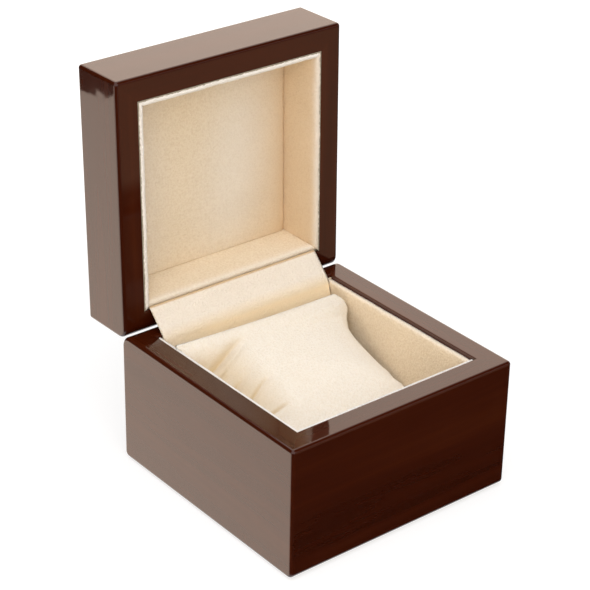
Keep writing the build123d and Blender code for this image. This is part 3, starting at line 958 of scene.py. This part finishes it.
def build_pillow():
    grid = filled_pouch()
    across, along = grid.shape[1:3]
    u = np.linspace(-1, 1, across)
    grid, down = sized(grid, u)
    depth, painted_shading = creased(grid[0, ..., 0] / MM, -grid[0, ..., 1] / MM)
    grid[0, ..., 2] -= depth * ramped(1 - np.abs(u), 0, SIDE_SEAM)[:, None] * MM
    grid = leaned(grid) + np.array([0, PILLOW_BACK, RIM_Z])
    grid = pressed(hung(grid, u, down))
    faces = grid_faces(across, along, flip=True) + grid_faces(across, along, start=across * along)
    # painted shade in the creases, dents and left end, on its upper layer only
    masks = {"pressed": np.stack([painted_shading, np.zeros(painted_shading.shape)]).ravel()}
    piece = new_piece("pillow", grid.reshape(-1, 3), faces, "pillow", masks=masks)
    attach(piece, "cushion")
    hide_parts("pillow_cover", "pillow_filling")


# ---- stage: floor, world and lamps, in metres ----
FLOOR_SIZE = 6.0
FLOOR_NEAR = 0.12          # from the middle of the box: shadow up to here
FLOOR_FAR = 0.40           # and plain white from here
SHADOW_GLOW = 0.72
WORLD_FILL = 0.24


def background_rays(tree):
    """1 for the rays that show a background: camera, glossy and transmission rays."""
    path = tree.nodes.new("ShaderNodeLightPath")
    total = path.outputs["Is Camera Ray"]
    for kind in ("Is Glossy Ray", "Is Transmission Ray"):
        either = tree.nodes.new("ShaderNodeMath")
        either.operation = "MAXIMUM"
        tree.links.new(total, either.inputs[0])
        tree.links.new(path.outputs[kind], either.inputs[1])
        total = either.outputs[0]
    return total


def add_floor():
    """A pale floor: white to the camera further out, with the object's soft shadow near it."""
    bpy.ops.mesh.primitive_plane_add(size=FLOOR_SIZE)
    floor = bpy.context.object
    floor.name = "floor"
    material, shader = new_material("white_floor")
    tree = material.node_tree
    shader.inputs["Base Color"].default_value = (0.86, 0.86, 0.86, 1)
    shader.inputs["Roughness"].default_value = 0.9
    shader.inputs["Specular IOR Level"].default_value = 0.1
    place = add_node(material, "ShaderNodeTexCoord")
    length = add_node(material, "ShaderNodeVectorMath", operation="LENGTH")
    reach = add_node(material, "ShaderNodeMapRange", interpolation_type="SMOOTHSTEP")
    reach.inputs["From Min"].default_value = FLOOR_NEAR
    reach.inputs["From Max"].default_value = FLOOR_FAR
    reach.inputs["To Min"].default_value = SHADOW_GLOW
    reach.inputs["To Max"].default_value = 1.0
    glow = add_node(material, "ShaderNodeEmission")
    lit = add_node(material, "ShaderNodeBsdfDiffuse")
    lit.inputs["Color"].default_value = (0.40, 0.40, 0.40, 1)
    both = add_node(material, "ShaderNodeAddShader")
    mix = add_node(material, "ShaderNodeMixShader")
    output = [node for node in tree.nodes if node.bl_idname == "ShaderNodeOutputMaterial"][0]
    link(material, place.outputs["Object"], length.inputs[0])
    link(material, length.outputs["Value"], reach.inputs["Value"])
    link(material, reach.outputs["Result"], glow.inputs["Strength"])
    link(material, glow.outputs[0], both.inputs[0])
    link(material, lit.outputs[0], both.inputs[1])
    link(material, background_rays(tree), mix.inputs[0])
    link(material, shader.outputs[0], mix.inputs[1])
    link(material, both.outputs[0], mix.inputs[2])
    link(material, mix.outputs[0], output.inputs["Surface"])
    floor.data.materials.append(material)
    floor.visible_glossy = False
    floor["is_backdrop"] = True


def add_world():
    """A white surround to camera, glossy and transmission rays, a soft even fill to the rest."""
    world = bpy.data.worlds.new("studio")
    bpy.context.scene.world = world
    world.use_nodes = True
    tree = world.node_tree
    tree.nodes.clear()
    output = tree.nodes.new("ShaderNodeOutputWorld")
    background = tree.nodes.new("ShaderNodeBackground")
    fill = tree.nodes.new("ShaderNodeBackground")
    mix = tree.nodes.new("ShaderNodeMixShader")
    background.inputs["Color"].default_value = (1, 1, 1, 1)
    fill.inputs["Color"].default_value = (1, 0.88, 0.70, 1)
    fill.inputs["Strength"].default_value = WORLD_FILL
    tree.links.new(background_rays(tree), mix.inputs[0])
    tree.links.new(fill.outputs[0], mix.inputs[1])
    tree.links.new(background.outputs[0], mix.inputs[2])
    tree.links.new(mix.outputs[0], output.inputs["Surface"])


def add_softbox(name, place, aim, width, height, radiance, colour, glossy=True, diffuse=True):
    """An area lamp whose surface shines at the given radiance."""
    data = bpy.data.lights.new(name, "AREA")
    data.shape = "RECTANGLE"
    data.size = width
    data.size_y = height
    data.energy = radiance * width * height * math.pi
    data.color = colour
    lamp = bpy.data.objects.new(name, data)
    bpy.context.scene.collection.objects.link(lamp)
    lamp.location = place
    lamp.rotation_euler = (Vector(aim) - Vector(place)).to_track_quat("-Z", "Y").to_euler()
    lamp.visible_camera = False
    lamp.visible_glossy = glossy
    lamp.visible_diffuse = diffuse
    return lamp


def add_flag(name, place, aim, width, height):
    """A studio's black card: the lacquer mirrors it, and nothing else meets it."""
    bpy.ops.mesh.primitive_plane_add(size=1)
    flag = bpy.context.object
    flag.name = name
    flag.scale = (width, height, 1)
    flag.location = place
    flag.rotation_euler = (Vector(aim) - Vector(place)).to_track_quat("Z", "Y").to_euler()
    material, shader = new_material("black_card")
    shader.inputs["Base Color"].default_value = (0.012, 0.010, 0.009, 1)
    shader.inputs["Roughness"].default_value = 1.0
    shader.inputs["Specular IOR Level"].default_value = 0.0
    flag.data.materials.append(material)
    flag.visible_camera = False
    flag.visible_diffuse = False
    flag.visible_shadow = False
    flag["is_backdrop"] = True


def light_studio():
    middle = (0, 0, 0.08)
    lid_rim = (0.03, 0.05, 0.11)
    cool = (0.93, 0.97, 1.06)
    soft = (1, 0.88, 0.73)
    left_glow = (1, 0.60, 0.30)
    right_glow = (1, 0.62, 0.32)
    ember = (1, 0.60, 0.38)
    add_softbox(
        "overhead", (-0.15, -0.10, 1.0), middle,
        width=1.2, height=1.2, radiance=2.05, colour=cool, glossy=False,
    )
    add_softbox(
        "front_fill", (-0.8, -1.0, 0.70), middle,
        width=1.3, height=0.9, radiance=2.55, colour=soft, glossy=False,
    )
    add_softbox(
        "backdrop_right", (1.1, 1.35, 0.75), middle,
        width=2.6, height=2.2, radiance=0.80, colour=right_glow, diffuse=False,
    )
    add_softbox(
        "backdrop_left", (-1.1, 1.2, -0.45), middle,
        width=2.2, height=2.2, radiance=0.84, colour=left_glow, diffuse=False,
    )
    add_softbox(
        "frame_glow", (0.60, -0.75, -0.25), lid_rim,
        width=0.8, height=0.30, radiance=0.48, colour=ember, diffuse=False,
    )
    add_flag("flag_front", (0.85, -1.05, -0.55), middle, width=2.4, height=2.0)
    add_flag("flag_right", (0.83, -0.71, 1.11), middle, width=1.5, height=1.5)
    add_flag("flag_left", (-0.70, 0.98, 0.55), (-0.05, 0.05, 0.55), width=1.5, height=1.7)
    add_flag("flag_low", (-0.96, -0.78, -0.60), middle, width=2.4, height=1.0)


dress_nodes()
build_lid_linings()
build_base_linings()
build_panel()
build_flap()
build_pillow()
add_camera()
add_floor()
add_world()
light_studio()

bpy.context.scene.view_settings.view_transform = "Standard"

boxes = {"cad": cad_box, "visual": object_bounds()}
{key: [list(corner) for corner in box] for key, box in boxes.items()}
